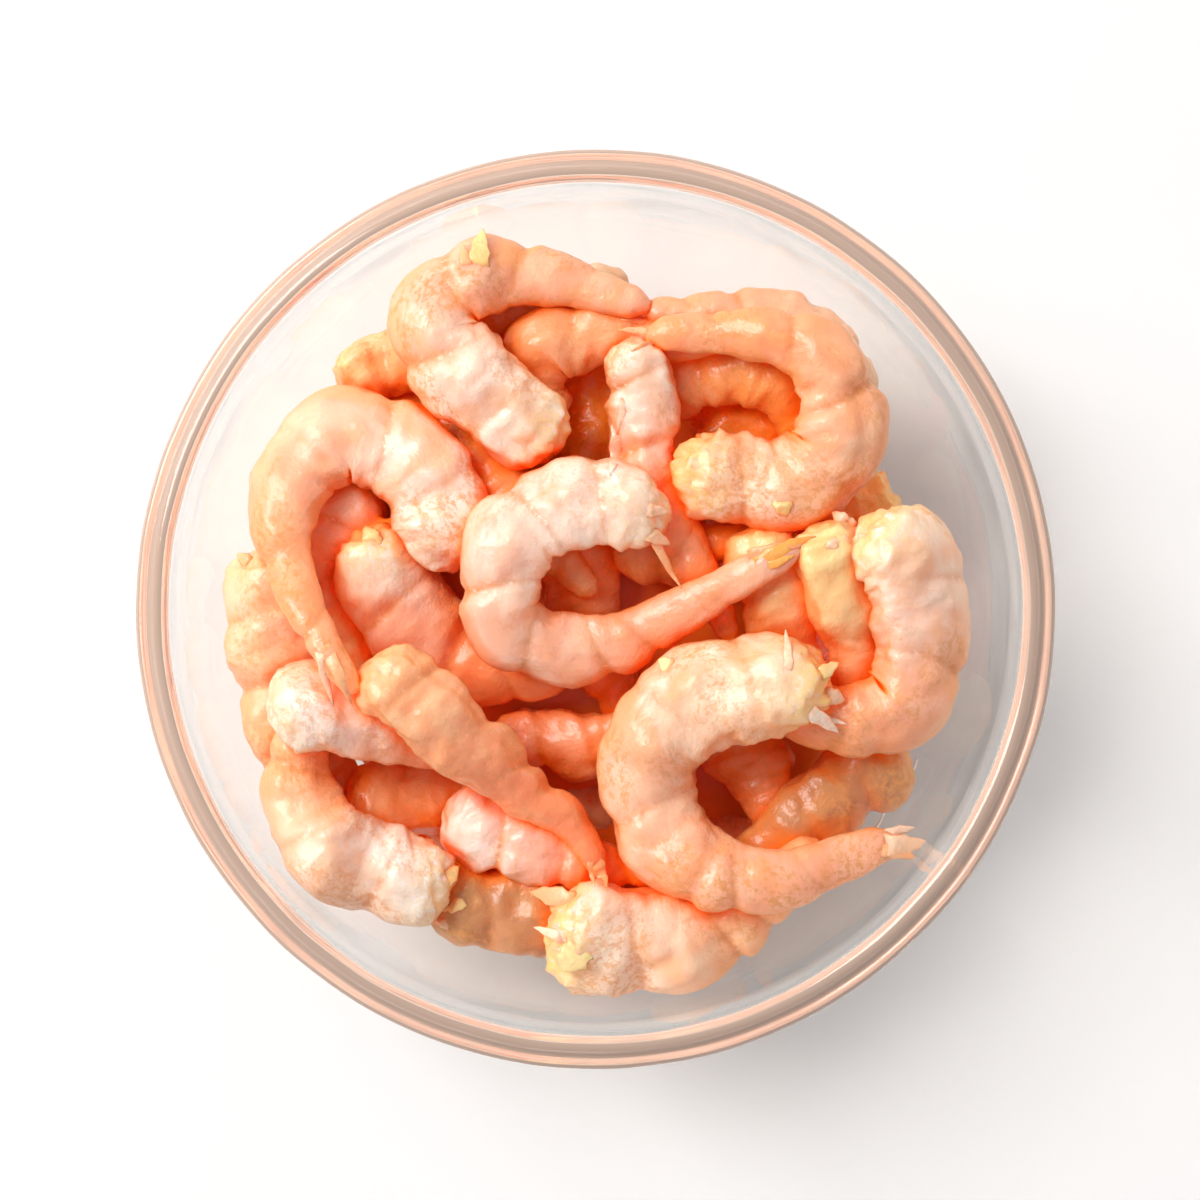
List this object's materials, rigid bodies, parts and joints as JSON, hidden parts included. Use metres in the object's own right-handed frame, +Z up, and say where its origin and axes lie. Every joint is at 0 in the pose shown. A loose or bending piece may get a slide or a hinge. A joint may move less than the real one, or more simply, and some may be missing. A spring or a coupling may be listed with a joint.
{
  "type": "raw peeled shrimp",
  "caption": "Raw peeled shrimp, curled and heaped in a clear round glass bowl, ready to cook.",
  "frame": {"origin": "middle of the bowl's foot, on the surface it stands on", "axes": "+Z up through the middle of the bowl, +X to the right and +Y to the top of the picture, which looks straight down"},
  "size_m": [0.13, 0.13, 0.0579],
  "materials": {
    "glass": "clear pressed glass, polished",
    "raw_shrimp": "wet raw flesh, creamy white to peach, orange deep in the heap"
  },
  "bodies": {
    "root": {"glass_bowl": "glass", "shrimp_heap": "raw_shrimp"}
  },
  "joints": []
}
